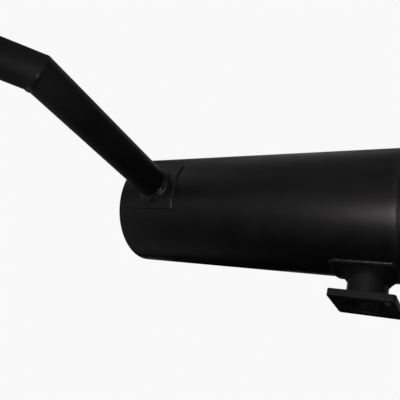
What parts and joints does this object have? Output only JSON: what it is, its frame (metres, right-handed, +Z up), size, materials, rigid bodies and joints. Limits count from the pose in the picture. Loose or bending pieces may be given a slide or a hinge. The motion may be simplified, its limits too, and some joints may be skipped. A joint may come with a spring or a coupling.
{
  "type": "exhaust muffler",
  "caption": "Welded steel drum muffler with a flanged inlet neck on its underside and a mitred tailpipe leaving sideways near the far end.",
  "frame": {"origin": "centre of the inlet flange's gasket face", "axes": "+Z up the inlet neck into the drum, +X along the drum towards its inlet end; the tailpipe leaves towards -Y"},
  "size_m": [0.386, 0.428, 0.175],
  "materials": {
    "satin_black_steel": "satin high-temperature black paint over rolled steel sheet and tube",
    "painted_weld": "rippled weld beads under the same satin black paint",
    "black_flange_plate": "satin black paint over a thick cut steel plate, thin on the edges",
    "bare_inner_steel": "bare mild steel, unpainted inside the drum",
    "bare_weld": "bare weld metal inside the drum"
  },
  "bodies": {
    "root": {"body_shell": "satin_black_steel", "shell_seam_weld": "painted_weld", "inlet_end_cap": "satin_black_steel", "inlet_end_cap_weld": "painted_weld", "outlet_end_cap": "satin_black_steel", "outlet_end_cap_weld": "painted_weld", "inlet_saddle_plate": "satin_black_steel", "inlet_saddle_weld": "painted_weld", "outlet_saddle_plate": "satin_black_steel", "outlet_saddle_weld": "painted_weld", "inlet_neck_tube": "satin_black_steel", "inlet_neck_weld": "painted_weld", "inlet_flange": "black_flange_plate", "inlet_flange_weld": "painted_weld", "tailpipe_lower": "satin_black_steel", "tailpipe_upper": "satin_black_steel", "tailpipe_base_weld": "painted_weld", "tailpipe_mitre_weld": "painted_weld", "inlet_baffle": "bare_inner_steel", "outlet_baffle": "bare_inner_steel", "near_transfer_tube": "bare_inner_steel", "far_transfer_tube": "bare_inner_steel", "transfer_tube_welds": "bare_weld", "baffle_tack_welds": "bare_weld"}
  },
  "joints": []
}
